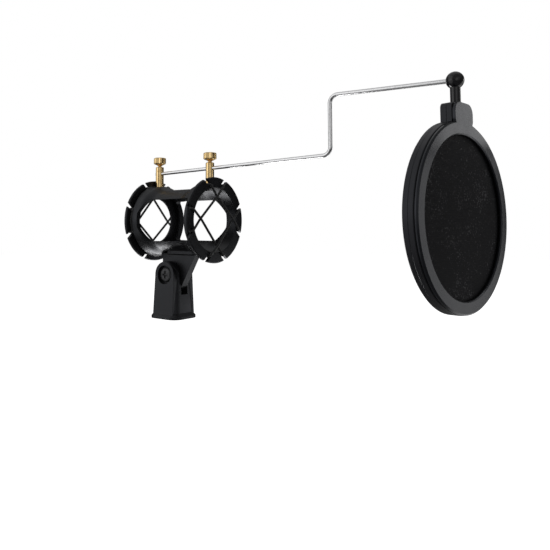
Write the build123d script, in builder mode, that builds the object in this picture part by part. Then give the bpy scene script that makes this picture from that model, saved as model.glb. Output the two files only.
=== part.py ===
from build123d import *
from math import cos, radians, sin, sqrt, tan
import os

os.makedirs("parts", exist_ok=True)

# Shock-mount cradle with a pop filter on a bent rod, in millimetres.
# Origin: middle of the base's underside, on the stand thread's axis. +Z up, +X along the
# microphone's axis toward the filter, -Y on the side where the pivot screw's head shows.

# ---- driving dimensions ----
cradle_x = 9.5                     # centre of the cradle tube, ahead of the base's axis
axis_z = 70.5                      # height of the microphone's axis
cradle_half = 31.0                 # half the cradle's length
flange_r = 30.0
flange_thick = 2.5
groove_width = 2.2                 # channel behind each flange, for the elastic band
groove_r = 24.8
shoulder_r = 26.4
waist_r = 22.5
waist_half = 11.5
bell_half = 22.5                   # from here outward the tube has its end size
bell_r = 25.9
bore_waist_r = 20.2
bore_end_r = 22.6
bore_chamfer = 0.4
rear_mouth_r = 16.7                # an inward lip narrows the rear mouth
rear_lip_thick = 1.6
rear_lip_setback = 0.9             # and stands this far inside the flange's face
window_square_end = 24.6           # side windows: one end square, the other with cut corners
window_cut_end = 22.0
window_cut_x = 5.2                 # extent of each cut corner, along the tube and up
window_cut_z = 9.8
window_half_height = 14.9
window_corner_r = 2.0

band_diameter = 1.7
front_band_offset = 12.3           # distance of each straight run from the axis
rear_band_offset = 11.3
band_plane = cradle_half + 1.1     # the runs lie just outside the flange's face
band_cross = 0.88                  # half the spacing of two runs where they cross
band_slot_r = groove_r + band_diameter / 2 + 0.15
notch_width = 3.3

post_x = 25.2                      # posts stand fore and aft of the cradle's centre
post_diameter = 6.0
post_seat_z = 23.5                 # heights above the microphone's axis
post_top_z = 40.6
post_clear_r = post_diameter / 2 + band_diameter / 2 + 0.15
seat_half_width = 9.2
stud_diameter = 3.0

rod_diameter = 2.5
rod_rise_deg = 1.25                # the lower run climbs slightly toward the filter
rod_mid_z = 35.95                  # its height above the axis, over the cradle's centre
rod_end_x = -28.8
rod_bend_x = 121.3
rod_top_z = 75.1
rod_bend_r = 5.0
ball_x = 195.7
ball_z = 72.2
ball_r = 4.7
rod_clear = 0.10

head_diameter = 9.4                # thumb screws
head_low_z = 42.7
head_high_z = 47.7
flute_count = 6
flute_r = 1.7

pivot_z = 31.2                     # base and its pivot, from the base's underside
foot_x = 28.0
foot_y = 25.6
foot_height = 1.8
foot_corner_r = 7.0
body_low_x = 24.0
body_high_x = 19.2
body_low_y = 21.6
body_high_y = 17.8
body_corner_r = 5.0
cheek_low_y = 11.3                 # outer faces of the two cheek plates, at the foot
cheek_y = 9.9                      # and at the pivot
slot_width = 6.4
slot_floor_z = 17.2
tongue_thick = 5.8
tongue_r = 13.2
pivot_diameter = 5.0
recess_diameter = 13.4
recess_depth = 2.6
stand_bore_r = 7.45                # 5/8 in - 27 thread, at its minor diameter
insert_r = 8.8
insert_length = 14.0

filter_turn_deg = -8.6             # rest pose of the filter about its upright stem
filter_r = 50.0
opening_r = 42.7
rear_face = -4.0                   # offsets along the filter's normal from its mid plane
parting = -0.7
shell_front = 2.2
plate_back = 2.6
front_face = 4.2
lip_thick = 1.6
mesh_thick = 0.3
mesh_r = 46.4
spigot_r = 46.9
wall_r = 47.0
tab_half = 9.8
tab_top = 59.4
stem_diameter = 5.3
stem_back = 0.3                    # the stem's axis lies this far behind the filter's mid plane
shaft_diameter = 3.2
collar_diameter = 4.2
collar_low = 51.6
collar_high = 53.0
stem_clear = 0.08

# ---- shared planes and axes ----
mic_plane = Plane(origin=(cradle_x, 0, axis_z), x_dir=(1, 0, 0), z_dir=(0, -1, 0))
mic_axis = Axis((cradle_x, 0, axis_z), (1, 0, 0))
rise = radians(rod_rise_deg)


def cross_plane(x):
    """Plane across the cradle at x from its middle: local x is +Y, local y is +Z."""
    return Plane(origin=(cradle_x + x, 0, axis_z), x_dir=(0, 1, 0), z_dir=(1, 0, 0))


def rod_z(x):
    """Height of the lower run's centre line above the microphone's axis."""
    return rod_mid_z + x * tan(rise)


# ---- cradle: one moulding with windows, flanges, saddle and tongue ----
with BuildPart() as cradle:
    with BuildSketch(mic_plane):
        with BuildLine():
            outer_right = Spline((waist_half, waist_r), (bell_half, bell_r), tangents=((1, 0), (1, 0)))
            Line((-waist_half, waist_r), (waist_half, waist_r))
            outer_left = Spline((-waist_half, waist_r), (-bell_half, bell_r), tangents=((-1, 0), (-1, 0)))
            bore_right = Spline(
                (waist_half, bore_waist_r), (bell_half, bore_end_r), tangents=((1, 0), (1, 0))
            )
            Line((-waist_half, bore_waist_r), (waist_half, bore_waist_r))
            bore_left = Spline(
                (-waist_half, bore_waist_r), (-bell_half, bore_end_r), tangents=((-1, 0), (-1, 0))
            )
            for side in (-1, 1):
                groove_in = side * (cradle_half - flange_thick - groove_width)
                groove_out = side * (cradle_half - flange_thick)
                face = side * cradle_half
                Polyline(
                    (side * bell_half, bell_r),
                    (groove_in, shoulder_r),
                    (groove_in, groove_r),
                    (groove_out, groove_r),
                    (groove_out, flange_r - 0.4),
                    (groove_out + side * 0.4, flange_r),
                    (face - side * 0.6, flange_r),
                    (face, flange_r - 0.6),
                    (face, bore_end_r + bore_chamfer),
                    (face - side * bore_chamfer, bore_end_r),
                    (side * bell_half, bore_end_r),
                )
        make_face()
    revolve(axis=mic_axis)
    with BuildSketch(cross_plane(-cradle_half + rear_lip_setback)):
        Circle(bore_end_r + 0.5)
        Circle(rear_mouth_r, mode=Mode.SUBTRACT)
    extrude(amount=rear_lip_thick)
    for side in (-1, 1):
        with BuildSketch(mic_plane):
            with BuildLine():
                square = -side * window_square_end
                cut = side * window_cut_end
                cut_high = side * (window_cut_end - window_cut_x)
                cut_low = window_half_height - window_cut_z
                Polyline(
                    (square, -window_half_height),
                    (cut_high, -window_half_height),
                    (cut, -cut_low),
                    (cut, cut_low),
                    (cut_high, window_half_height),
                    (square, window_half_height),
                    close=True,
                )
            make_face()
            fillet(vertices().filter_by(lambda v: v.X * side < 0), radius=window_corner_r)
        extrude(amount=-side * flange_r, mode=Mode.SUBTRACT)
    # saddle block and tongue under the lower bar
    with BuildSketch(Plane.XY.offset(pivot_z + 14.2)):
        with Locations((cradle_x, 0)):
            RectangleRounded(30.0, 8.0, 3.5)
    extrude(until=Until.NEXT)
    chamfer_edges = cradle.faces().filter_by(Axis.Z).sort_by(Axis.Z)[0].edges()
    chamfer(chamfer_edges, length=0.8)
    with BuildSketch(Plane.XZ):
        with BuildLine():
            front_low = (tongue_r * cos(radians(-26)), pivot_z + tongue_r * sin(radians(-26)))
            rear_low = (tongue_r * cos(radians(-118)), pivot_z + tongue_r * sin(radians(-118)))
            bottom = (0, pivot_z - tongue_r)
            Polyline(front_low, (23.2, 45.2), (23.2, 46.5), (-11.0, 46.5), (-8.8, 42.6), (-8.6, 31.0), rear_low)
            ThreePointArc(rear_low, bottom, front_low)
        make_face()
    extrude(amount=tongue_thick / 2, both=True)
    with BuildSketch(Plane.XZ):
        with Locations((0, pivot_z)):
            Circle(pivot_diameter / 2 + 0.1)
    extrude(amount=tongue_thick, both=True, mode=Mode.SUBTRACT)
    # band notches in both flanges, along the lines of the straight runs
    for start, band_offset in (
        (-cradle_half, rear_band_offset),
        (cradle_half - flange_thick, front_band_offset),
    ):
        notch_inner = sqrt(groove_r**2 - band_offset**2)
        notch_outer = sqrt((flange_r + 1) ** 2 - band_offset**2)
        notch_middle = (notch_inner + notch_outer) / 2
        with BuildSketch(cross_plane(start)):
            with PolarLocations(0, 4, start_angle=45):
                with Locations((band_offset, notch_middle), (band_offset, -notch_middle)):
                    Rectangle(notch_width, notch_outer - notch_inner)
        extrude(amount=flange_thick, mode=Mode.SUBTRACT)
    # flat seats for the posts, with their screw holes into the bore
    for side in (-1, 1):
        seat_out = side * (cradle_half - flange_thick)
        seat_in = side * (post_x - post_clear_r - band_diameter / 2 - 0.25)
        with BuildSketch(Plane.XY.offset(axis_z + post_seat_z)):
            with Locations((cradle_x + (seat_in + seat_out) / 2, 0)):
                Rectangle(abs(seat_out - seat_in), 2 * seat_half_width)
        extrude(amount=4, mode=Mode.SUBTRACT)
        with BuildSketch(Plane.XY.offset(axis_z + 15)):
            with Locations((cradle_x + side * post_x, 0)):
                Circle(stud_diameter / 2 + 0.1)
        extrude(amount=10, mode=Mode.SUBTRACT)
cradle.part.label = "cradle"
export_step(cradle.part, "parts/cradle.step")


# ---- elastic bands: one closed loop laced through the notches of each flange ----
def run_point(quarter, offset, along, x):
    """A point on the straight run of one quarter: along the run, at x from the middle."""
    turn = radians(45 + 90 * quarter)
    y = offset * cos(turn) - along * sin(turn)
    z = offset * sin(turn) + along * cos(turn)
    return Vector(cradle_x + x, y, axis_z + z)


def tab_points(quarter, side):
    """The way behind the tab that lies between two runs: round the post on the top one."""
    if quarter == 0:
        inboard = post_x - post_clear_r
        return [
            Vector(cradle_x + side * inboard, y, axis_z + post_seat_z + 0.95) for y in (-2.2, 2.2)
        ]
    turn = radians(90 + 90 * quarter)
    reach = band_slot_r + 0.6
    x = side * (cradle_half - flange_thick - groove_width / 2)
    return [Vector(cradle_x + x, reach * cos(turn), axis_z + reach * sin(turn))]


def band_route(side, offset):
    """Corner points of one closed loop, in the order in which it is laced."""
    slot = sqrt(band_slot_r**2 - offset**2)
    behind = side * (cradle_half - flange_thick - groove_width / 2)
    front = side * band_plane
    lap = side * band_cross
    points = []
    quarter = 0
    for _ in range(4):
        points += [run_point(quarter, offset, -slot, behind), run_point(quarter, offset, -slot, front)]
        points += [run_point(quarter, offset, -offset, front + lap)]
        points += [run_point(quarter, offset, offset, front - lap)]
        points += [run_point(quarter, offset, slot, front), run_point(quarter, offset, slot, behind)]
        points += tab_points(quarter, side)
        quarter = (quarter + 1) % 4
    return points


for name, side, band_offset in (
    ("front_elastic_band", 1, front_band_offset),
    ("rear_elastic_band", -1, rear_band_offset),
):
    with BuildPart() as band:
        with BuildLine() as loop:
            FilletPolyline(*band_route(side, band_offset), radius=0.9, close=True)
        start_edge = loop.edges().filter_by(GeomType.LINE).sort_by(SortBy.LENGTH)[-1]
        with BuildSketch(Plane(origin=start_edge @ 0, z_dir=start_edge % 0)):
            Circle(band_diameter / 2)
        sweep(path=loop.wire())
    band.part.label = name
    export_step(band.part, f"parts/{name}.step")

# ---- brass posts, their screws, thumb screws ----
rod_dir = Vector(cos(rise), 0, sin(rise))
head_mid = (head_low_z + head_high_z) / 2
for name, side in (("rear", -1), ("front", 1)):
    foot = axis_z + post_seat_z
    hole_z = axis_z + rod_z(side * post_x)
    with BuildPart() as post:
        with BuildSketch(Plane((cradle_x + side * post_x, 0, foot))):
            Circle(post_diameter / 2)
        extrude(amount=post_top_z - post_seat_z)
        chamfer(post.faces().sort_by(Axis.Z)[-1].edges(), length=0.4)
        with BuildSketch(Plane((cradle_x + side * post_x, 0, hole_z), z_dir=rod_dir)):
            Circle(rod_diameter / 2 + rod_clear)
        extrude(amount=post_diameter, both=True, mode=Mode.SUBTRACT)
        with BuildSketch(Plane((cradle_x + side * post_x, 0, hole_z))):
            Circle(stud_diameter / 2 + 0.08)
        extrude(amount=10, mode=Mode.SUBTRACT)
        with BuildSketch(Plane((cradle_x + side * post_x, 0, foot))):
            Circle(stud_diameter / 2 + 0.05)
        extrude(amount=6, mode=Mode.SUBTRACT)
    post.part.label = f"{name}_post"
    export_step(post.part, f"parts/{name}_post.step")

    tip_z = hole_z + rod_diameter / 2 + 0.06
    with BuildPart() as thumb:
        with BuildSketch(Plane((cradle_x + side * post_x, 0, axis_z + head_low_z))):
            Circle(head_diameter / 2)
            with PolarLocations(head_diameter / 2 + 0.8, flute_count):
                Circle(flute_r, mode=Mode.SUBTRACT)
        extrude(amount=head_high_z - head_low_z)
        with BuildSketch(Plane((cradle_x + side * post_x, 0, axis_z + head_high_z))):
            Circle(head_diameter / 2 - 1.9)
        extrude(amount=-0.6, mode=Mode.SUBTRACT)
        with BuildSketch(Plane((cradle_x + side * post_x, 0, tip_z))):
            Circle(stud_diameter / 2)
        extrude(amount=axis_z + head_low_z - tip_z)
    thumb.part.label = f"{name}_thumb_screw"
    export_step(thumb.part, f"parts/{name}_thumb_screw.step")

with BuildPart() as post_screws:
    for side in (-1, 1):
        seat = Plane((cradle_x + side * post_x, 0, axis_z + bore_end_r - 0.25))
        with BuildSketch(seat):
            Circle(2.7)
        extrude(amount=-1.8)
        with BuildSketch(seat):
            Circle(stud_diameter / 2)
        extrude(amount=post_seat_z - bore_end_r + 0.25 + 5.0)
        with BuildSketch(seat.offset(-1.8)):
            Rectangle(3.0, 0.7)
            Rectangle(0.7, 3.0)
        extrude(amount=0.9, mode=Mode.SUBTRACT)
post_screws.part.label = "post_screws"
export_step(post_screws.part, "parts/post_screws.step")

# ---- rod: bent wire from the rear post to the swivel ball ----
bend_low = (rod_bend_x, rod_z(rod_bend_x))
bend_high = (rod_bend_x, rod_top_z)
droop = (ball_z - rod_top_z) / (ball_x - rod_bend_x)
rod_tip = (ball_x + 1.0, ball_z + droop)
with BuildPart() as rod:
    with BuildLine(mic_plane):
        rod_line = FilletPolyline((rod_end_x, rod_z(rod_end_x)), bend_low, bend_high, rod_tip, radius=rod_bend_r)
    with BuildSketch(Plane(origin=rod_line @ 0, z_dir=rod_line % 0)):
        Circle(rod_diameter / 2)
    sweep(path=rod_line)
rod.part.label = "rod"
export_step(rod.part, "parts/rod.step")

# ---- swivel ball and stem ----
ball_centre = Vector(cradle_x + ball_x, 0, axis_z + ball_z)
end_dir = Vector(1, 0, droop).normalized()
stem_top = axis_z + ball_z - sqrt(ball_r**2 - (stem_diameter / 2) ** 2)
with BuildPart() as swivel_ball:
    with Locations(ball_centre):
        Sphere(ball_r)
    with BuildSketch(Plane(origin=ball_centre, z_dir=end_dir)):
        Circle(rod_diameter / 2 + 0.04)
    extrude(amount=1.1, mode=Mode.SUBTRACT)
    with BuildSketch(Plane(origin=ball_centre, z_dir=end_dir)):
        Circle(rod_diameter / 2 + 0.04)
    extrude(amount=-2 * ball_r, mode=Mode.SUBTRACT)
    with BuildSketch(Plane((ball_centre.X, 0, stem_top - 2))):
        Circle(stem_diameter / 2 + 0.02)
    extrude(amount=2, mode=Mode.SUBTRACT)
    with BuildSketch(Plane((ball_centre.X, 0, stem_top))):
        Circle(1.22)
    extrude(amount=1.6, mode=Mode.SUBTRACT)
swivel_ball.part.label = "swivel_ball"
export_step(swivel_ball.part, "parts/swivel_ball.step")

with BuildPart() as swivel_stem:
    with BuildSketch(Plane((ball_centre.X, 0, axis_z + tab_top + 0.3))):
        Circle(stem_diameter / 2)
    extrude(amount=stem_top - axis_z - tab_top - 0.3)
    with BuildSketch(Plane((ball_centre.X, 0, stem_top))):
        Circle(1.2)
    extrude(amount=1.5)
    with BuildSketch(Plane((ball_centre.X, 0, axis_z + collar_low))):
        Circle(shaft_diameter / 2)
    extrude(amount=tab_top + 0.3 - collar_low)
    with BuildSketch(Plane((ball_centre.X, 0, axis_z + collar_low))):
        Circle(collar_diameter / 2)
    extrude(amount=collar_high - collar_low)
swivel_stem.part.label = "swivel_stem"
export_step(swivel_stem.part, "parts/swivel_stem.step")

# ---- pop filter: two shells, a face plate and two mesh discs ----
turn = radians(filter_turn_deg)
normal = Vector(cos(turn), sin(turn), 0)
across = Vector(-sin(turn), cos(turn), 0)
filter_centre = Vector(ball_centre.X, 0, axis_z) + normal * stem_back
filter_axis = Axis(filter_centre, normal)
filter_section = Plane(origin=filter_centre, x_dir=normal, z_dir=Vector(normal.Y, -normal.X, 0))


def face_plane(offset):
    """Plane parallel to the filter's face: local x across it, local y up."""
    return Plane(origin=filter_centre + normal * offset, x_dir=across, z_dir=normal)


def ring_section(corners):
    """A ring's section, from pairs of offset along the normal and radius."""
    with BuildSketch(filter_section) as section:
        Polygon(*corners, align=None)
    return section.sketch


def tab_outline(offset, corner):
    """The block that stands on the rim round the stem, with rounded top corners."""
    with BuildSketch(face_plane(offset)) as outline:
        with Locations((0, 46.0)):
            Rectangle(2 * tab_half, tab_top - 46.0, align=(Align.CENTER, Align.MIN))
        fillet(outline.vertices().group_by(Axis.Z)[-1], radius=corner)
    return outline.sketch


with BuildPart() as stem_cavity:
    with BuildSketch(Plane((ball_centre.X, 0, axis_z + collar_high))):
        Circle(shaft_diameter / 2 + stem_clear)
    extrude(amount=10)
    with BuildSketch(Plane((ball_centre.X, 0, axis_z + collar_low - 0.2))):
        Circle(collar_diameter / 2 + stem_clear)
    extrude(amount=collar_high - collar_low + 0.4)

with BuildPart() as filter_rear_shell:
    ring = ring_section(
        [
            (rear_face, opening_r + 0.4),
            (rear_face, filter_r - 0.8),
            (rear_face + 0.8, filter_r),
            (parting - 0.05, filter_r),
            (parting - 0.05, wall_r),
            (rear_face + lip_thick, wall_r),
            (rear_face + lip_thick, opening_r),
            (rear_face + 0.4, opening_r),
        ]
    )
    revolve(ring, axis=filter_axis)
    extrude(tab_outline(rear_face, 3.0), amount=parting - 0.05 - rear_face)
    ring_cut = [(rear_face + lip_thick, 0), (rear_face + lip_thick, wall_r), (parting, wall_r), (parting, 0)]
    with BuildSketch(filter_section):
        Polygon(*ring_cut, align=None)
    revolve(axis=filter_axis, mode=Mode.SUBTRACT)
    add(stem_cavity.part, mode=Mode.SUBTRACT)
filter_rear_shell.part.label = "filter_rear_shell"
export_step(filter_rear_shell.part, "parts/filter_rear_shell.step")

spigot_back = rear_face + lip_thick + mesh_thick
with BuildPart() as filter_front_shell:
    ring = ring_section(
        [
            (spigot_back, opening_r + 1.4),
            (spigot_back, spigot_r),
            (parting + 0.05, spigot_r),
            (parting + 0.05, filter_r),
            (shell_front - 0.3, filter_r),
            (shell_front, filter_r - 0.3),
            (shell_front, mesh_r + 0.1),
            (shell_front - mesh_thick, mesh_r + 0.1),
            (shell_front - mesh_thick, opening_r + 1.4),
        ]
    )
    revolve(ring, axis=filter_axis)
    extrude(tab_outline(parting + 0.05, 3.0), amount=shell_front - parting - 0.05)
    with BuildSketch(face_plane(shell_front - mesh_thick)):
        Circle(mesh_r + 0.1)
    extrude(amount=1, mode=Mode.SUBTRACT)
    add(stem_cavity.part, mode=Mode.SUBTRACT)
filter_front_shell.part.label = "filter_front_shell"
export_step(filter_front_shell.part, "parts/filter_front_shell.step")

with BuildPart() as front_plate:
    ring = ring_section(
        [
            (shell_front, 44.0),
            (shell_front, 48.8),
            (plate_back, 48.8),
            (plate_back, filter_r - 0.3),
            (front_face - 0.7, filter_r - 0.3),
            (front_face, filter_r - 1.1),
            (front_face, opening_r + 0.6),
            (front_face - 0.6, opening_r),
            (plate_back, opening_r),
            (plate_back, 44.0),
        ]
    )
    revolve(ring, axis=filter_axis)
    extrude(tab_outline(plate_back, 5.2), amount=front_face - plate_back)
    with BuildSketch(face_plane(shell_front)):
        with Locations((0, 53.5)):
            Rectangle(12, 6)
    extrude(amount=plate_back - shell_front)
front_plate.part.label = "front_plate"
export_step(front_plate.part, "parts/front_plate.step")

for name, start in (("rear_mesh", rear_face + lip_thick), ("front_mesh", shell_front - mesh_thick)):
    with BuildPart() as mesh:
        with BuildSketch(face_plane(start)):
            Circle(mesh_r)
        extrude(amount=mesh_thick)
    mesh.part.label = name
    export_step(mesh.part, f"parts/{name}.step")

# ---- swivel base with its pivot screw, nut and thread insert ----
with BuildPart() as ear_block:
    with BuildSketch(Plane.XY.offset(pivot_z)):
        RectangleRounded(body_high_x, body_high_y, body_corner_r)
    extrude(amount=body_high_x / 2)
    with BuildSketch(Plane.XZ):
        with Locations((0, pivot_z)):
            Circle(body_high_x / 2)
    extrude(amount=body_low_y, both=True, mode=Mode.INTERSECT)

cheek_r = 9.3
cheek_low_x = 9.9
with BuildPart() as cheek_plates:
    with BuildSketch(Plane.XZ):
        with BuildLine():
            Line((-cheek_r, pivot_z), (-cheek_low_x, foot_height))
            Line((-cheek_low_x, foot_height), (cheek_low_x, foot_height))
            Line((cheek_low_x, foot_height), (cheek_r, pivot_z))
            ThreePointArc((cheek_r, pivot_z), (0, pivot_z + cheek_r), (-cheek_r, pivot_z))
        make_face()
    extrude(amount=cheek_low_y, both=True)
    with BuildSketch(Plane.YZ):
        Polygon(
            (-cheek_low_y, foot_height),
            (cheek_low_y, foot_height),
            (cheek_y, pivot_z),
            (cheek_y, pivot_z + body_high_x),
            (-cheek_y, pivot_z + body_high_x),
            (-cheek_y, pivot_z),
            align=None,
        )
    extrude(amount=body_low_x, both=True, mode=Mode.INTERSECT)

with BuildPart() as swivel_base:
    with BuildSketch(Plane.XY):
        RectangleRounded(foot_x, foot_y, foot_corner_r)
    extrude(amount=foot_height)
    with BuildSketch(Plane.XY.offset(foot_height)):
        RectangleRounded(foot_x, foot_y, foot_corner_r)
    with BuildSketch(Plane.XY.offset(foot_height + 2.2)):
        RectangleRounded(body_low_x, body_low_y, body_corner_r)
    loft()
    with BuildSketch(Plane.XY.offset(foot_height)):
        RectangleRounded(body_low_x, body_low_y, body_corner_r)
    with BuildSketch(Plane.XY.offset(pivot_z)):
        RectangleRounded(body_high_x, body_high_y, body_corner_r)
    loft()
    add(ear_block.part)
    add(cheek_plates.part)
    with BuildSketch(Plane.XZ):
        with Locations((0, (slot_floor_z + pivot_z + 15) / 2)):
            Rectangle(foot_x + 2, pivot_z + 15 - slot_floor_z)
    extrude(amount=slot_width / 2, both=True, mode=Mode.SUBTRACT)
    with BuildSketch(Plane.XZ):
        with Locations((0, pivot_z)):
            Circle(pivot_diameter / 2 + 0.1)
    extrude(amount=cheek_low_y, both=True, mode=Mode.SUBTRACT)
    with BuildSketch(Plane.XZ.offset(cheek_low_y)):
        with Locations((0, pivot_z)):
            Circle(recess_diameter / 2)
    extrude(amount=cheek_y - recess_depth - cheek_low_y, mode=Mode.SUBTRACT)
    with BuildSketch(Plane.XZ.offset(-cheek_low_y)):
        with Locations((0, pivot_z)):
            RegularPolygon(4.1, 6, major_radius=False)
    extrude(amount=cheek_low_y - cheek_y + 3.4, mode=Mode.SUBTRACT)
    with BuildSketch(Plane.XY):
        Circle(insert_r + 0.02)
    extrude(amount=insert_length, mode=Mode.SUBTRACT)
swivel_base.part.label = "swivel_base"
export_step(swivel_base.part, "parts/swivel_base.step")

with BuildPart() as thread_insert:
    with BuildSketch(Plane.XY):
        Circle(insert_r)
        Circle(stand_bore_r, mode=Mode.SUBTRACT)
    extrude(amount=insert_length)
    for height in (3.5, 9.0):
        with BuildSketch(Plane.XY.offset(height)):
            Circle(insert_r)
            Circle(insert_r - 0.35, mode=Mode.SUBTRACT)
        extrude(amount=1.5, mode=Mode.SUBTRACT)
thread_insert.part.label = "thread_insert"
export_step(thread_insert.part, "parts/thread_insert.step")

head_seat = cheek_y - recess_depth
with BuildPart() as pivot_screw:
    with BuildSketch(Plane.XZ.offset(head_seat)):
        with Locations((0, pivot_z)):
            Circle(5.25)
    extrude(amount=2.0)
    fillet(pivot_screw.edges().sort_by(Axis.Y)[0], radius=0.9)
    with BuildSketch(Plane.XZ.offset(head_seat + 2.0)):
        with Locations((0, pivot_z)):
            Rectangle(5.4, 1.1)
            Rectangle(1.1, 5.4)
    extrude(amount=-1.3, mode=Mode.SUBTRACT)
    with BuildSketch(Plane.XZ.offset(head_seat)):
        with Locations((0, pivot_z)):
            Circle(pivot_diameter / 2)
    extrude(amount=-(head_seat + cheek_y - 0.3))
pivot_screw.part.label = "pivot_screw"
export_step(pivot_screw.part, "parts/pivot_screw.step")

with BuildPart() as pivot_nut:
    with BuildSketch(Plane.XZ.offset(-cheek_y + 3.4)):
        with Locations((0, pivot_z)):
            RegularPolygon(4.0, 6, major_radius=False)
            Circle(pivot_diameter / 2 + 0.03, mode=Mode.SUBTRACT)
    extrude(amount=-3.2)
pivot_nut.part.label = "pivot_nut"
export_step(pivot_nut.part, "parts/pivot_nut.step")
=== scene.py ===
import math

import bpy
import numpy as np
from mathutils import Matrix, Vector


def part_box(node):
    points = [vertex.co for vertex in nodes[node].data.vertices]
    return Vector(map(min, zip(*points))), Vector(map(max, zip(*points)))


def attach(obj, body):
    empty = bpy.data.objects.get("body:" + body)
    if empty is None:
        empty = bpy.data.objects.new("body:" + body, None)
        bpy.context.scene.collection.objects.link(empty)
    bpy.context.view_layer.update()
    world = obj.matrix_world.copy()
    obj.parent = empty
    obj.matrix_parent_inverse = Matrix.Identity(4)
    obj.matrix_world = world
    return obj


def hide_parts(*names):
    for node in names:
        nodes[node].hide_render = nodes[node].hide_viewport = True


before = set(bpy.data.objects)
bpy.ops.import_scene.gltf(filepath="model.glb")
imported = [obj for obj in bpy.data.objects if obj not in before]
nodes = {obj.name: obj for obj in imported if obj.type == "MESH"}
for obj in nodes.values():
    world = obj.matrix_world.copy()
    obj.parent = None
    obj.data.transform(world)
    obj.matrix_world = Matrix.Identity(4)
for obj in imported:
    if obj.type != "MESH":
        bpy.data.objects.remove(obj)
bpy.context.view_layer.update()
MM = 0.001


# ---------------------------------------------------------------- node helpers
def new_material(name):
    mat = bpy.data.materials.new(name)
    mat.use_nodes = True
    tree = mat.node_tree
    return mat, tree, tree.nodes["Principled BSDF"]


def add(tree, kind, **values):
    """A new node. Each value goes to the property of its name, or else to that input."""
    made = tree.nodes.new(kind)
    for key, value in values.items():
        if hasattr(made, key):
            setattr(made, key, value)
        else:
            made.inputs[key.replace("_", " ").title()].default_value = value
    return made


def object_coords(tree, scale=(1, 1, 1)):
    source = add(tree, "ShaderNodeTexCoord")
    mapping = add(tree, "ShaderNodeMapping")
    mapping.inputs["Scale"].default_value = scale
    tree.links.new(source.outputs["Object"], mapping.inputs["Vector"])
    return mapping.outputs["Vector"]


def noise(tree, coords, scale, detail=3.0, roughness=0.55):
    made = add(tree, "ShaderNodeTexNoise", scale=scale, detail=detail, roughness=roughness)
    tree.links.new(coords, made.inputs["Vector"])
    return made.outputs["Fac"]


def ramp(tree, factor, stops):
    made = add(tree, "ShaderNodeValToRGB")
    elements = made.color_ramp.elements
    while len(elements) < len(stops):
        elements.new(0.5)
    for element, (place, colour) in zip(elements, stops):
        element.position = place
        element.color = (*colour, 1)
    tree.links.new(factor, made.inputs["Fac"])
    return made.outputs["Color"]


def spread(tree, factor, low, high, from_low=0.3, from_high=0.7):
    """Map from_low..from_high to low..high. The default takes the middle of a noise."""
    made = add(tree, "ShaderNodeMapRange")
    made.inputs["From Min"].default_value = from_low
    made.inputs["From Max"].default_value = from_high
    made.inputs["To Min"].default_value = low
    made.inputs["To Max"].default_value = high
    tree.links.new(factor, made.inputs["Value"])
    return made.outputs["Result"]


def math_node(tree, operation, first, second):
    made = add(tree, "ShaderNodeMath", operation=operation)
    for place, value in enumerate((first, second)):
        if isinstance(value, (int, float)):
            made.inputs[place].default_value = value
        else:
            tree.links.new(value, made.inputs[place])
    return made.outputs["Value"]


def plus(tree, first, second):
    return math_node(tree, "ADD", first, second)


def times(tree, first, second):
    return math_node(tree, "MULTIPLY", first, second)


def dot_product(tree, first):
    """A dot product of first with the node's second input, which the caller fills."""
    made = add(tree, "ShaderNodeVectorMath", operation="DOT_PRODUCT")
    tree.links.new(first, made.inputs[0])
    return made


def bump(tree, height, strength, distance, normal=None):
    made = add(tree, "ShaderNodeBump")
    made.inputs["Strength"].default_value = strength
    made.inputs["Distance"].default_value = distance
    tree.links.new(height, made.inputs["Height"])
    if normal is not None:
        tree.links.new(normal, made.inputs["Normal"])
    return made.outputs["Normal"]


def soft_edges(tree, radius):
    made = add(tree, "ShaderNodeBevel", samples=6)
    made.inputs["Radius"].default_value = radius
    return made.outputs["Normal"]


def edge_mask(tree, bevelled):
    """Near 1 where the rounded normal leaves the true one, so along the edges that get rubbed."""
    geometry = add(tree, "ShaderNodeNewGeometry")
    dot = dot_product(tree, bevelled)
    tree.links.new(geometry.outputs["Normal"], dot.inputs[1])
    return spread(tree, dot.outputs["Value"], 1, 0, 0.86, 0.99)


def strand_height(tree):
    """The relief kept on the points of the braid and the weave: 1 on top of a strand."""
    return add(tree, "ShaderNodeAttribute", attribute_name="strand").outputs["Fac"]


def dress(tree, shader, tint, roughness, normal, fixed=None):
    """Link the three driven inputs of a shader and set its fixed ones."""
    for socket, source in (("Base Color", tint), ("Roughness", roughness), ("Normal", normal)):
        tree.links.new(source, shader.inputs[socket])
    for socket, value in (fixed or {}).items():
        shader.inputs[socket].default_value = value


# ---------------------------------------------------------------- materials
# Noise scales are per metre. Edge radii and bump distances are metres.
PLASTIC_EDGE = 0.35e-3
GLOSS_EDGE = 0.2e-3
SCREW_EDGE = 0.2e-3
METAL_EDGE = 0.15e-3
BRASS_RING_PITCH = 0.2e-3


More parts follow.
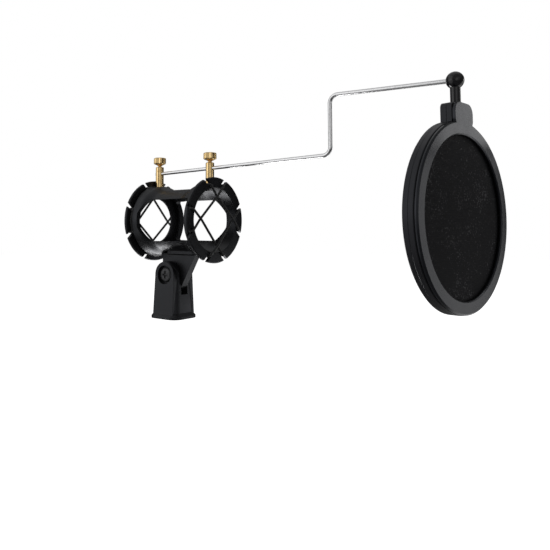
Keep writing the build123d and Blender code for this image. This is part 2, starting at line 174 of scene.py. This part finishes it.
def moulded_plastic(name, dark, light, rough, grain_scale, grain_depth):
    """Satin moulded plastic: spark-eroded grain, faint flow marks and rubbed edges."""
    mat, tree, shader = new_material(name)
    coords = object_coords(tree)
    cloud = noise(tree, coords, 55, 4, 0.6)
    fine = noise(tree, coords, grain_scale, 4, 0.65)
    rounded = soft_edges(tree, PLASTIC_EDGE)
    worn = times(tree, edge_mask(tree, rounded), noise(tree, coords, 900, 3, 0.6))
    shade = plus(tree, spread(tree, cloud, 0, 0.5), times(tree, worn, 0.9))
    shade = plus(tree, shade, spread(tree, fine, 0, 0.3))
    patches = spread(tree, cloud, rough - 0.06, rough + 0.06)
    flow = bump(tree, noise(tree, coords, 140, 2, 0.4), 0.12, 0.12e-3, rounded)
    dress(
        tree,
        shader,
        tint=ramp(tree, shade, [(0, dark), (1, light)]),
        roughness=math_node(tree, "SUBTRACT", patches, times(tree, worn, 0.12)),
        normal=bump(tree, fine, 0.4, grain_depth, flow),
        fixed={"Specular IOR Level": 0.33, "Specular Tint": (0.87, 0.9, 1.0, 1)},
    )
    return mat


def gloss_plastic():
    """Polished black plastic: clear reflections with faint ripple, hairlines and dust."""
    mat, tree, shader = new_material("gloss_black")
    coords = object_coords(tree)
    dust = noise(tree, coords, 1500, 5, 0.7)
    hair = noise(tree, object_coords(tree, (1, 1, 0.06)), 5200, 2, 0.5)
    ripple = bump(tree, noise(tree, coords, 300, 2), 0.1, 0.05e-3, soft_edges(tree, GLOSS_EDGE))
    dress(
        tree,
        shader,
        tint=ramp(tree, dust, [(0.35, (0.006, 0.006, 0.007)), (0.8, (0.02, 0.02, 0.022))]),
        roughness=spread(tree, noise(tree, coords, 260, 4), 0.08, 0.2),
        normal=bump(tree, hair, 0.15, 0.006e-3, ripple),
        fixed={"Specular IOR Level": 0.35, "Coat Weight": 0.15, "Coat Roughness": 0.05},
    )
    return mat


def turned_brass():
    """Lathe-turned brass: fine rings across the axis, tarnish in clouds, brighter rubbed edges."""
    mat, tree, shader = new_material("brass")
    dark, mid, light = (0.66, 0.43, 0.18), (0.92, 0.66, 0.31), (1.0, 0.82, 0.5)
    cloud = noise(tree, object_coords(tree), 420, 4, 0.6)
    rings = noise(tree, object_coords(tree, (0.02, 0.02, 1)), 1 / BRASS_RING_PITCH, 3, 0.6)
    rounded = soft_edges(tree, METAL_EDGE)
    shade = plus(tree, spread(tree, cloud, 0, 0.5), spread(tree, rings, 0, 0.5))
    shade = plus(tree, shade, times(tree, edge_mask(tree, rounded), 0.5))
    dress(
        tree,
        shader,
        tint=ramp(tree, shade, [(0, dark), (0.5, mid), (1, light)]),
        roughness=spread(tree, cloud, 0.33, 0.21),
        normal=bump(tree, rings, 0.15, 0.008e-3, rounded),
        fixed={"Metallic": 1.0},
    )
    return mat


def drawn_chrome():
    """Plated wire: near-mirror with faint pulls along it and a few dull specks."""
    mat, tree, shader = new_material("chrome")
    dull, plain, bright = (0.56, 0.56, 0.57), (0.76, 0.76, 0.77), (0.84, 0.84, 0.85)
    pulls = noise(tree, object_coords(tree, (0.015, 1, 1)), 6500, 3, 0.6)
    specks = noise(tree, object_coords(tree), 1400, 4, 0.75)
    dress(
        tree,
        shader,
        tint=ramp(tree, specks, [(0.25, dull), (0.5, plain), (0.8, bright)]),
        roughness=spread(tree, specks, 0.24, 0.13),
        normal=bump(tree, pulls, 0.2, 0.008e-3),
        fixed={"Metallic": 1.0},
    )
    return mat


def blackened_steel():
    """Dark zinc-plated screw steel: satin, patchy, with bright rubbed corners."""
    mat, tree, shader = new_material("black_steel")
    coords = object_coords(tree)
    cloud = noise(tree, coords, 700, 4, 0.6)
    rounded = soft_edges(tree, SCREW_EDGE)
    rubbed = times(tree, edge_mask(tree, rounded), noise(tree, coords, 2500, 3))
    shade = plus(tree, spread(tree, cloud, 0, 0.4), times(tree, rubbed, 0.8))
    dress(
        tree,
        shader,
        tint=ramp(tree, shade, [(0, (0.02, 0.02, 0.022)), (1, (0.16, 0.16, 0.165))]),
        roughness=spread(tree, cloud, 0.34, 0.5),
        normal=bump(tree, noise(tree, coords, 4000, 3), 0.3, 0.01e-3, rounded),
        fixed={"Metallic": 0.6},
    )
    return mat


def zinc_steel():
    """Bright zinc-plated steel with a fine crystalline cloud."""
    mat, tree, shader = new_material("zinc_steel")
    coords = object_coords(tree)
    cloud = noise(tree, coords, 1100, 4, 0.6)
    rounded = soft_edges(tree, METAL_EDGE)
    dress(
        tree,
        shader,
        tint=ramp(tree, cloud, [(0.3, (0.36, 0.36, 0.37)), (0.7, (0.6, 0.6, 0.6))]),
        roughness=spread(tree, cloud, 0.28, 0.42),
        normal=bump(tree, noise(tree, coords, 5000, 2), 0.25, 0.01e-3, rounded),
        fixed={"Metallic": 1.0},
    )
    return mat


def elastic_sheath():
    """Braided textile over elastic: painted shade, dark in the crevices and lighter on the strand
    tops, and a soft sheen.
    """
    mat, tree, shader = new_material("band_sheath")
    # Painted shade: the crevice, side and top colours darken the braid from its strand tops down
    # into its crevices.
    painted_crevice_shade, side, top = (0.004, 0.004, 0.004), (0.016, 0.016, 0.017), (0.03, 0.03, 0.032)
    height = strand_height(tree)
    fibre = noise(tree, object_coords(tree), 9000, 3, 0.7)
    # Painted shade follows the relief height: darkest in the crevices, lightest on the strand tops.
    shade = times(tree, height, spread(tree, fibre, 0.6, 1.1))
    dress(
        tree,
        shader,
        tint=ramp(tree, shade, [(0, painted_crevice_shade), (0.6, side), (1, top)]),
        roughness=spread(tree, fibre, 0.5, 0.7),
        normal=bump(tree, fibre, 0.4, 0.03e-3),
        fixed={"Sheen Weight": 0.25, "Sheen Roughness": 0.4},
    )
    return mat


def woven_screen():
    """Fine black woven screen: painted glints on thread tops here and there, and painted shade
    keeping the holes black.
    """
    mat, tree, shader = new_material("screen_weave")
    # Painted light: the hole colour is painted shade, and the top colour is a painted glint.
    painted_hole_shade, thread, top = (0.0015, 0.0015, 0.0015), (0.004, 0.004, 0.0045), (0.06, 0.06, 0.064)
    coords = object_coords(tree)
    height = strand_height(tree)
    patch = noise(tree, coords, 60, 3, 0.6)
    # Painted glints: random spots on the thread tops get a lighter colour and a lower roughness.
    chance = plus(tree, noise(tree, coords, 900, 2, 0.6), spread(tree, patch, -0.1, 0.1))
    painted_glint_spots = spread(tree, chance, 0, 1, 0.58, 0.72)
    painted_glint_tops = times(tree, painted_glint_spots, height)
    # The colour is painted shade in the holes plus painted glints on the thread tops.
    shade = plus(tree, times(tree, height, 0.35), times(tree, painted_glint_tops, 0.6))
    dress(
        tree,
        shader,
        tint=ramp(tree, shade, [(0, painted_hole_shade), (0.4, thread), (1, top)]),
        roughness=spread(tree, painted_glint_spots, 0.62, 0.3, 0, 1),
        normal=bump(tree, noise(tree, coords, 12000, 2, 0.6), 0.3, 0.02e-3),
        fixed={"Specular IOR Level": 0.08, "Specular Tint": (0.85, 0.85, 1.0, 1)},
    )
    return mat


materials = {
    "satin_black": moulded_plastic(
        "satin_black",
        dark=(0.005, 0.005, 0.0055),
        light=(0.018, 0.018, 0.019),
        rough=0.38,
        grain_scale=5200,
        grain_depth=0.02e-3,
    ),
    "shell_black": moulded_plastic(
        "shell_black",
        dark=(0.005, 0.005, 0.006),
        light=(0.016, 0.016, 0.018),
        rough=0.4,
        grain_scale=6000,
        grain_depth=0.015e-3,
    ),
    "plate_black": moulded_plastic(
        "plate_black",
        dark=(0.006, 0.0065, 0.008),
        light=(0.018, 0.019, 0.023),
        rough=0.23,
        grain_scale=7500,
        grain_depth=0.01e-3,
    ),
    "gloss_black": gloss_plastic(),
    "brass": turned_brass(),
    "chrome": drawn_chrome(),
    "black_steel": blackened_steel(),
    "zinc_steel": zinc_steel(),
    "band_rubber": elastic_sheath(),
    "mesh_black": woven_screen(),
}
NODE_LOOKS = {
    "cradle": "satin_black",
    "swivel_base": "satin_black",
    "filter_rear_shell": "shell_black",
    "filter_front_shell": "shell_black",
    "front_plate": "plate_black",
    "swivel_ball": "gloss_black",
    "swivel_stem": "gloss_black",
    "rear_post": "brass",
    "front_post": "brass",
    "rear_thumb_screw": "brass",
    "front_thumb_screw": "brass",
    "thread_insert": "brass",
    "rod": "chrome",
    "pivot_screw": "black_steel",
    "pivot_nut": "zinc_steel",
    "post_screws": "zinc_steel",
    "front_elastic_band": "band_rubber",
    "rear_elastic_band": "band_rubber",
    "front_mesh": "mesh_black",
    "rear_mesh": "mesh_black",
}
for node_name, look in NODE_LOOKS.items():
    for place in nodes[node_name].material_slots:
        place.link = "DATA"
        place.material = materials[look]


# ---------------------------------------------------------------- mesh helpers
def mesh_piece(name, points, faces, look, body):
    data = bpy.data.meshes.new(name)
    data.from_pydata([tuple(p) for p in points], [], faces)
    data.update()
    made = bpy.data.objects.new(name, data)
    bpy.context.scene.collection.objects.link(made)
    data.materials.append(materials[look])
    for polygon in data.polygons:
        polygon.use_smooth = True
    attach(made, body)
    return made


def strand_attribute(piece, values):
    layer = piece.data.attributes.new("strand", "FLOAT", "POINT")
    layer.data.foreach_set("value", np.asarray(values, np.float32))


def tube_faces(rows, around, closed):
    """Quads between each ring of points and the next, and from the last to the first if closed."""
    faces = []
    for i in range(rows if closed else rows - 1):
        j = (i + 1) % rows
        for k in range(around):
            m = (k + 1) % around
            faces.append((i * around + k, i * around + m, j * around + m, j * around + k))
    return faces


def rounded_route(corners, radius, step):
    """Closed route through the corners, each rounded by a curve, as evenly spaced points."""
    most_of_leg = 0.45
    corner_points = 13
    dense = []
    count = len(corners)
    for i in range(count):
        before, here, after = corners[i - 1], corners[i], corners[(i + 1) % count]
        back = before - here
        ahead = after - here
        reach = min(radius, most_of_leg * back.length, most_of_leg * ahead.length)
        start = here + back.normalized() * reach
        end = here + ahead.normalized() * reach
        for t in np.linspace(0, 1, corner_points):
            dense.append(start * (1 - t) ** 2 + here * 2 * t * (1 - t) + end * t**2)
    line = np.array(dense + [dense[0]])
    along = np.concatenate([[0], np.cumsum(np.linalg.norm(np.diff(line, axis=0), axis=1))])
    steps = int(round(along[-1] / step))
    places = np.linspace(0, along[-1], steps, endpoint=False)
    return np.stack([np.interp(places, along, line[:, k]) for k in range(3)], axis=1), along[-1]


def closed_frames(line):
    """Two normals at each point of a closed line, turned evenly so that the ends meet."""
    off_the_line = (0.3, 0.5, 0.8)
    count = len(line)
    tangents = np.roll(line, -1, axis=0) - np.roll(line, 1, axis=0)
    tangents /= np.linalg.norm(tangents, axis=1)[:, None]
    first = np.cross(tangents[0], off_the_line)
    first /= np.linalg.norm(first)
    sides = [first]
    for i in range(1, count + 1):
        t = tangents[i % count]
        side = sides[-1] - t * (sides[-1] @ t)
        sides.append(side / np.linalg.norm(side))
    t = tangents[0]
    twist = math.atan2(np.cross(sides[-1], sides[0]) @ t, sides[-1] @ sides[0])
    first_sides, second_sides = [], []
    for i in range(count):
        angle = twist * i / count
        other = np.cross(tangents[i], sides[i])
        first_sides.append(sides[i] * math.cos(angle) + other * math.sin(angle))
        second_sides.append(np.cross(tangents[i], first_sides[-1]))
    return np.array(first_sides), np.array(second_sides)


# ---------------------------------------------------------------- elastic bands
# Sides are 1 for the front band and -1 for the rear one. Radii are from the tube's axis.
FLANGE_R = 30.0 * MM
SLOT_R = 25.8 * MM
BAND_R = 0.85 * MM
RUN_OFFSET = {1: 12.3 * MM, -1: 11.3 * MM}
BEHIND_TAB = 3.6 * MM
BEFORE_FLANGE = 1.1 * MM
CROSSING_LAP = 0.88 * MM
TAB_LAP = 0.6 * MM
POST_X = 25.2 * MM
POST_REACH = 4.0 * MM
POST_RUN_R = 24.45 * MM
POST_RUN_HALF = 2.2 * MM
CORNER_R = 1.6 * MM
POINT_STEP = 0.22 * MM
BRAID_TURN = 7.5 * MM
BRAID_STRANDS = 8
BAND_AROUND = 20

cradle_low, cradle_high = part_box("cradle")
cradle_x = (cradle_low.x + cradle_high.x) / 2
cradle_half = (cradle_high.x - cradle_low.x) / 2
axis_z = cradle_high.z - FLANGE_R


def run_point(side, quarter, along, x):
    turn = math.radians(45 + 90 * quarter)
    y = RUN_OFFSET[side] * math.cos(turn) - along * math.sin(turn)
    z = RUN_OFFSET[side] * math.sin(turn) + along * math.cos(turn)
    return Vector((cradle_x + x, y, axis_z + z))


def band_corners(side):
    """The laced loop: out through a notch, across, in through the next, round behind the tab."""
    offset = RUN_OFFSET[side]
    slot = math.sqrt(SLOT_R**2 - offset**2)
    behind = side * (cradle_half - BEHIND_TAB)
    front = side * (cradle_half + BEFORE_FLANGE)
    lap = side * CROSSING_LAP
    corners = []
    for quarter in range(4):
        corners += [
            run_point(side, quarter, -slot, behind),
            run_point(side, quarter, -slot, front),
            run_point(side, quarter, -offset, front + lap),
            run_point(side, quarter, offset, front - lap),
            run_point(side, quarter, slot, front),
            run_point(side, quarter, slot, behind),
        ]
        if quarter == 0:  # the top tab carries a post, so the cord passes inboard of it
            x = cradle_x + side * (POST_X - POST_REACH)
            for y in (-POST_RUN_HALF, POST_RUN_HALF):
                corners.append(Vector((x, y, axis_z + POST_RUN_R)))
        else:
            turn = math.radians(90 + 90 * quarter)
            reach = SLOT_R + TAB_LAP
            y, z = reach * math.cos(turn), reach * math.sin(turn)
            corners.append(Vector((cradle_x + behind, y, axis_z + z)))
    return corners


def elastic_band(name, side, node):
    """A round cord along the laced loop, with the relief of a braid in its surface."""
    line, length = rounded_route(band_corners(side), CORNER_R, POINT_STEP)
    first, second = closed_frames(line)
    turns = round(length / BRAID_TURN)
    angle = np.linspace(0, 2 * math.pi, BAND_AROUND, endpoint=False)
    share = np.arange(len(line)) / len(line)
    theta, run = np.meshgrid(angle, share * 2 * math.pi * turns)
    one = np.cos(BRAID_STRANDS * theta / 2 + run * BRAID_STRANDS / 2)
    two = np.cos(BRAID_STRANDS * theta / 2 - run * BRAID_STRANDS / 2)
    over = np.maximum(one * np.sign(two), two * np.sign(one))
    relief = np.clip(np.abs(one * two) ** 0.5 * 0.7 + 0.3 * over, 0, 1)
    radius = BAND_R * (0.93 + 0.07 * relief)
    points = (
        line[:, None, :]
        + first[:, None, :] * (radius * np.cos(theta))[..., None]
        + second[:, None, :] * (radius * np.sin(theta))[..., None]
    ).reshape(-1, 3)
    faces = tube_faces(len(line), BAND_AROUND, closed=True)
    piece = mesh_piece(name, points, faces, "band_rubber", "cradle_body")
    strand_attribute(piece, relief.ravel())
    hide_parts(node)


elastic_band("front_band_braid", 1, "front_elastic_band")
elastic_band("rear_band_braid", -1, "rear_elastic_band")


# ---------------------------------------------------------------- turned and threaded pieces
# Rows, radii, pitches and depths are in mm here. lathed() turns them into metres.
SHARP_ANGLE = math.radians(38)
THUMB_PITCH = 0.5
PIVOT_PITCH = 0.8
STAND_PITCH = 25.4 / 27


def lathed(name, node, body, look, base, up, rows, shape, around, ring=False):
    """Rows of (height, radius), spun round an axis and bent by shape(height, radius, theta)."""
    side = Vector((1, 0, 0))
    other = Vector(up).cross(side)
    angle = np.linspace(0, 2 * math.pi, around, endpoint=False)
    given = np.array(rows, float)
    height, theta = np.meshgrid(given[:, 0], angle, indexing="ij")
    radius = np.repeat(given[:, 1][:, None], around, axis=1)
    height, radius = shape(height, radius, theta)
    points = (
        np.array(base)
        + height[..., None] * MM * np.array(up)
        + (radius * np.cos(theta))[..., None] * MM * np.array(side)
        + (radius * np.sin(theta))[..., None] * MM * np.array(other)
    ).reshape(-1, 3)
    count = len(rows)
    faces = tube_faces(count, around, closed=ring)
    if not ring:
        faces.append(tuple(reversed(range(around))))
        faces.append(tuple(range((count - 1) * around, count * around)))
    piece = mesh_piece(name, points, faces, look, body)
    piece.data.set_sharp_from_angle(angle=SHARP_ANGLE)
    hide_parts(node)


def thread_wave(height, theta, pitch):
    """0 at a thread's root, 1 at its crest, on a right-hand helix."""
    crest, flank = 1.35, 3.4
    place = (height / pitch - theta / (2 * math.pi)) % 1
    return np.clip(crest - np.abs(place - 0.5) * flank, 0, 1)


def span(low, high, step):
    return np.linspace(low, high, max(2, int(round((high - low) / step)) + 1))


def thumb_knob(name, node, body):
    """Brass knob: six round lobes, dished top, tapered neck and a screw thread below."""
    low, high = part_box(node)
    head_height, head_r, shank_r = 5.0, 4.7, 1.48
    lobes, valley_depth, lobes_from, lobes_fade = 6, 0.92, 3.0, 1.7
    top = (high.z - low.z) / MM
    under = top - head_height
    rows = [(0, 0.3), (0, 1.05), (0.25, 1.3)]
    rows += [(h, shank_r) for h in span(0.35, under - 1.3, 0.06)]
    rows += [(under - 1.25, 1.35), (under - 1.0, 1.5), (under - 0.75, 2.0)]
    rows += [(under - 0.25, 3.0), (under, 3.55)]
    rows += [(under + 0.12, 4.0), (under + 0.4, 4.5), (under + 0.8, head_r)]
    rows += [(h, head_r) for h in span(under + 1.3, top - 0.9, 0.5)]
    rows += [(top - 0.5, 4.62), (top - 0.22, 4.42), (top - 0.06, 4.1), (top, 3.7), (top, 3.05)]
    rows += [(top - 0.1, 2.85), (top - 0.45, 2.72), (top - 0.58, 2.5)]
    rows += [(top - 0.6, 2.0), (top - 0.6, 0.3)]

    def shape(height, radius, theta):
        valley = (0.5 + 0.5 * np.cos(lobes * theta)) ** 1.25
        share = np.clip((radius - lobes_from) / lobes_fade, 0, 1)
        lobed = radius - valley_depth * valley * share
        threaded = (height > 0.3) & (height < under - 1.28)
        cut = 0.17 * (1 - thread_wave(height, theta, THUMB_PITCH))
        return height, np.where(threaded, radius - cut, lobed)

    base = Vector(((low.x + high.x) / 2, (low.y + high.y) / 2, low.z))
    lathed(name, node, body, "brass", base, (0, 0, 1), rows, shape, around=120)


def cross_recess(height, radius, theta, depth, reach):
    """Sink a tapered cross into the rows inside reach."""
    arm_half, arm_flank, end_taper, end_gain, rim = 0.68, 0.2, 0.7, 1.6, 0.3
    u, v = np.abs(radius * np.cos(theta)), np.abs(radius * np.sin(theta))
    arm = np.clip((arm_half - np.minimum(u, v)) / arm_flank, 0, 1)
    end = np.clip((reach - np.maximum(u, v)) / end_taper, 0, 1)
    return height - depth * arm * np.clip(end * end_gain, 0, 1) * (radius < reach + rim)


def head_screw():
    """Pan-head pivot screw with a cross recess and a thread at its far end."""
    low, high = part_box("pivot_screw")
    head_height, shank_r, thread_r, dome = 2.0, 2.5, 2.47, 0.008
    length = (high.y - low.y) / MM
    seat = length - head_height
    rows = [(0, 0.3), (0, 2.0), (0.4, 2.4)]
    rows += [(h, thread_r) for h in span(0.5, 6.5, 0.08)]
    rows += [(6.6, shank_r), (seat, shank_r), (seat, 5.0), (seat + 0.2, 5.2)]
    rows += [(seat + 0.9, 5.22), (seat + 1.2, 5.1), (seat + 1.5, 4.8)]
    rows += [(seat + 1.72, 4.35), (seat + 1.87, 3.8)]
    rows += [(seat + head_height - dome * r * r, r) for r in np.linspace(3.2, 0.08, 40)]

    def shape(height, radius, theta):
        threaded = (height > 0.45) & (height < 6.55) & (radius < 2.49)
        cut = 0.28 * (1 - thread_wave(height, theta, PIVOT_PITCH))
        top = height > seat + 1.8
        sunk = cross_recess(height, radius, theta, depth=1.15, reach=2.7)
        return np.where(top, sunk, height), np.where(threaded, radius - cut, radius)

    base = Vector(((low.x + high.x) / 2, high.y, (low.z + high.z) / 2))
    look = "black_steel"
    place = (base, (0, -1, 0))
    lathed("pivot_screw_head", "pivot_screw", "base_body", look, *place, rows, shape, around=144)


def hexagon_nut():
    """Hexagon nut with turned corners and a countersunk thread."""
    low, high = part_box("pivot_nut")
    bore, flat_r, corner_r = 2.53, 4.0, 4.62
    width = (high.y - low.y) / MM
    rows = [(0, bore + 0.25), (0, 3.75), (0.12, 4.1), (0.45, corner_r)]
    rows += [(h, corner_r) for h in span(0.7, width - 0.7, 0.6)]
    rows += [(width - 0.45, corner_r), (width - 0.12, 4.1), (width, 3.75)]
    rows += [(width, bore + 0.45), (width - 0.45, bore)]
    rows += [(h, bore) for h in span(0.5, width - 0.6, 0.1)[::-1]]

    def shape(height, radius, theta):
        flat = flat_r / np.cos((theta % (math.pi / 3)) - math.pi / 6)
        inner = radius < bore + 0.01
        groove = 0.2 * (1 - thread_wave(height, theta, PIVOT_PITCH))
        return height, np.where(inner, radius + groove, np.minimum(radius, flat))

    base = Vector(((low.x + high.x) / 2, low.y, (low.z + high.z) / 2))
    look = "zinc_steel"
    place = (base, (0, 1, 0))
    lathed("nut_hexagon", "pivot_nut", "base_body", look, *place, rows, shape, 120, ring=True)


def stand_thread():
    """Brass insert: two grooves outside, 27 threads to the inch inside, chamfered mouth."""
    low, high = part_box("thread_insert")
    outer, crest, groove_depth, chamfer = 8.78, 7.47, 0.33, 0.5
    length = (high.z - low.z) / MM
    rows = [(0.0, crest + chamfer), (0.0, outer - 0.15), (0.15, outer)]
    for start in (3.5, 9.0):
        rows += [(start, outer), (start + 0.05, outer - groove_depth)]
        rows += [(start + 1.45, outer - groove_depth), (start + 1.5, outer)]
    rows += [(length, outer), (length, crest + chamfer)]
    rows += [(h, crest) for h in span(0.55, length - 0.3, 0.117)[::-1]]

    def shape(height, radius, theta):
        cut = 0.5 * (1 - thread_wave(height, theta, STAND_PITCH))
        return height, np.where(radius < crest + 0.01, radius + cut, radius)

    base = Vector(((low.x + high.x) / 2, (low.y + high.y) / 2, low.z))
    look = "brass"
    place = (base, (0, 0, 1))
    lathed("stand_thread", "thread_insert", "base_body", look, *place, rows, shape, 120, ring=True)


thumb_knob("rear_thumb_knob", "rear_thumb_screw", "rear_thumb_body")
thumb_knob("front_thumb_knob", "front_thumb_screw", "front_thumb_body")
head_screw()
hexagon_nut()
stand_thread()


# ---------------------------------------------------------------- filter screens
def middle(node):
    low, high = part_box(node)
    return (low + high) / 2


screen_normal = (middle("front_mesh") - middle("rear_mesh")).normalized()
screen_across = Vector((-screen_normal.y, screen_normal.x, 0))
screen_low, screen_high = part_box("front_mesh")
SCREEN_R = (screen_high.z - screen_low.z) / 2
SCREEN_EDGE = 0.02 * MM
WEAVE_PITCH = 0.9 * MM
WEAVE_STEP = WEAVE_PITCH / 4
WEAVE_RELIEF = 0.13
WEAVE_SINK = 0.1
SLACK_DEPTH = 0.05
SLACK_ACROSS = 9 * MM
SLACK_UP = 11 * MM


def woven_disc(name, node, facing):
    """A taut disc of plain weave: every thread goes over and under its neighbours."""
    half = int(SCREEN_R / WEAVE_STEP) + 1
    grid = np.arange(-half, half + 1) * WEAVE_STEP
    u, v = np.meshgrid(grid, grid, indexing="ij")
    inside = np.hypot(u, v) <= SCREEN_R - SCREEN_EDGE
    a, b = u / WEAVE_PITCH, v / WEAVE_PITCH
    warp_over = np.cos(math.pi * b) * np.where(np.round(a) % 2 == 0, 1, -1)
    weft_over = -np.cos(math.pi * a) * np.where(np.round(b) % 2 == 0, 1, -1)
    warp = np.cos(math.pi * (a - np.round(a))) * 0.75 + 0.25 * warp_over
    weft = np.cos(math.pi * (b - np.round(b))) * 0.75 + 0.25 * weft_over
    height = np.clip(np.maximum(warp, weft), 0, 1)
    slack = SLACK_DEPTH * np.cos(u / SLACK_ACROSS) * np.cos(v / SLACK_UP)
    lift = (WEAVE_RELIEF * height + slack - WEAVE_SINK) * MM * facing
    index = -np.ones(u.shape, int)
    index[inside] = np.arange(inside.sum())
    centre = np.array(middle(node))
    points = (
        centre
        + u[inside][:, None] * np.array(screen_across)
        + v[inside][:, None] * np.array((0, 0, 1))
        + lift[inside][:, None] * np.array(screen_normal)
    )
    corners = np.stack([index[:-1, :-1], index[1:, :-1], index[1:, 1:], index[:-1, 1:]], axis=-1)
    corners = corners.reshape(-1, 4)
    faces = corners[(corners >= 0).all(axis=1)]
    if facing < 0:
        faces = faces[:, ::-1]
    piece = mesh_piece(name, points, faces.tolist(), "mesh_black", "filter_body")
    strand_attribute(piece, height[inside])
    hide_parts(node)


woven_disc("front_screen", "front_mesh", 1)
woven_disc("rear_screen", "rear_mesh", -1)


# ---------------------------------------------------------------- studio
FLOOR_SIZE = 12
FLOOR_Z = -0.25
DOME_R = 4
MIDDLE_X = 0.1
DOME_LEVELS = [(0, 0.14), (0.42, 0.1), (0.52, 0.14), (0.66, 0.28), (1, 0.26)]
# name, place, aim, width, height, power
SOFTBOXES = [
    ("key", (-0.55, -0.75, 0.55), (0.08, 0, 0.06), 1.1, 1.1, 2.4),
    ("fill", (1.1, -0.6, 0.35), (0.1, 0, 0.07), 0.8, 0.8, 0.5),
    ("top", (-0.1, 0.1, 1.0), (0.1, 0, 0.07), 1.4, 1.2, 1.7),
    ("plate", (0.295, 0.085, 0.03), (0.205, -0.03, 0.05), 0.09, 0.18, 0.042),
    ("tab", (0.272, 0.098, 0.147), (0.207, 0, 0.125), 0.05, 0.05, 0.012),
    ("base", (0.11, 0.125, 0.0), (0.012, 0, 0.02), 0.06, 0.06, 0.018),
    ("bell", (-0.06, 0.06, -0.09), (-0.01, -0.01, 0.05), 0.15, 0.1, 0.3),
]


def white_world():
    """White for the camera only, so that it doesn't light the object."""
    world = bpy.data.worlds.new("studio")
    bpy.context.scene.world = world
    world.use_nodes = True
    world.node_tree.nodes["Background"].inputs["Color"].default_value = (1, 1, 1, 1)
    world.node_tree.nodes["Background"].inputs["Strength"].default_value = 1.0
    world.cycles_visibility.diffuse = False
    world.cycles_visibility.glossy = False
    world.cycles_visibility.transmission = False


def white_floor():
    """Pale floor, lit enough to meet the white background."""
    bpy.ops.mesh.primitive_plane_add(size=FLOOR_SIZE, location=(MIDDLE_X, 0, FLOOR_Z))
    floor = bpy.context.object
    floor.name = "floor"
    mat, _, shader = new_material("floor_white")
    shader.inputs["Base Color"].default_value = (0.9, 0.9, 0.9, 1)
    shader.inputs["Roughness"].default_value = 0.8
    shader.inputs["Emission Color"].default_value = (1, 1, 1, 1)
    shader.inputs["Emission Strength"].default_value = 1.0
    floor.data.materials.append(mat)
    floor.visible_glossy = False
    floor.visible_diffuse = False


def light_dome():
    """Soft light all round: brighter overhead, two dark stretches of wall, three bright panels."""
    bpy.ops.mesh.primitive_uv_sphere_add(
        segments=48, ring_count=24, radius=DOME_R, location=(MIDDLE_X, 0, 0)
    )
    dome = bpy.context.object
    dome.name = "dome"
    mat, tree, shader = new_material("dome_light")
    tree.nodes.remove(shader)
    coords = add(tree, "ShaderNodeTexCoord")
    unit = add(tree, "ShaderNodeVectorMath", operation="NORMALIZE")
    tree.links.new(coords.outputs["Object"], unit.inputs[0])
    parts = add(tree, "ShaderNodeSeparateXYZ")
    tree.links.new(unit.outputs["Vector"], parts.inputs[0])

    def lobe(direction, near, far, low, high):
        dot = dot_product(tree, unit.outputs["Vector"])
        dot.inputs[1].default_value = Vector(direction).normalized()
        return spread(tree, dot.outputs["Value"], low, high, near, far)

    height = spread(tree, parts.outputs["Z"], 0, 1, -1, 1)
    level = ramp(tree, height, [(place, (grey,) * 3) for place, grey in DOME_LEVELS])
    level = times(tree, level, lobe((-0.93, 0.36, 0.05), 0.8, 0.95, 1, 0.1))
    level = times(tree, level, lobe((0.6, 0.8, 0), 0.6, 0.95, 1, 0.1))
    level = plus(tree, level, lobe((-0.6, -0.76, -0.15), 0.82, 0.93, 0, 0.58))
    level = plus(tree, level, lobe((0.2, 0.8, -0.57), 0.9, 0.97, 0, 0.9))
    level = plus(tree, level, lobe((0.6, -0.78, 0.06), 0.93, 0.98, 0, 0.5))
    glow = add(tree, "ShaderNodeEmission")
    tree.links.new(level, glow.inputs["Strength"])
    tree.links.new(glow.outputs["Emission"], tree.nodes["Material Output"].inputs["Surface"])
    dome.data.materials.append(mat)
    dome.visible_camera = False
    dome.visible_shadow = False


def softbox(name, place, aim, width, height, power):
    data = bpy.data.lights.new(name, "AREA")
    data.shape = "RECTANGLE"
    data.size, data.size_y = width, height
    data.energy = power
    made = bpy.data.objects.new(name, data)
    bpy.context.scene.collection.objects.link(made)
    made.location = place
    made.rotation_mode = "QUATERNION"
    made.rotation_quaternion = (Vector(aim) - Vector(place)).to_track_quat("-Z", "Y")
    made.visible_camera = False


def camera():
    """The photo's viewpoint. Shifts are shares of the picture's width."""
    data = bpy.data.cameras.new("camera")
    data.sensor_width = 36
    data.lens = 37.67105
    data.shift_x, data.shift_y = 0.08, -0.163636
    data.clip_start, data.clip_end = 0.01, 50
    made = bpy.data.objects.new("camera", data)
    bpy.context.scene.collection.objects.link(made)
    made.location = (0.29964, -0.30722, 0.06523)
    yaw, pitch = math.radians(38.667), math.radians(4.233)
    level = math.cos(pitch)
    ahead = Vector((-math.sin(yaw) * level, math.cos(yaw) * level, math.sin(pitch)))
    made.rotation_mode = "QUATERNION"
    made.rotation_quaternion = ahead.to_track_quat("-Z", "Y")
    bpy.context.scene.camera = made


white_world()
white_floor()
light_dome()
for box in SOFTBOXES:
    softbox(*box)
camera()
bpy.context.scene.view_settings.view_transform = "Standard"
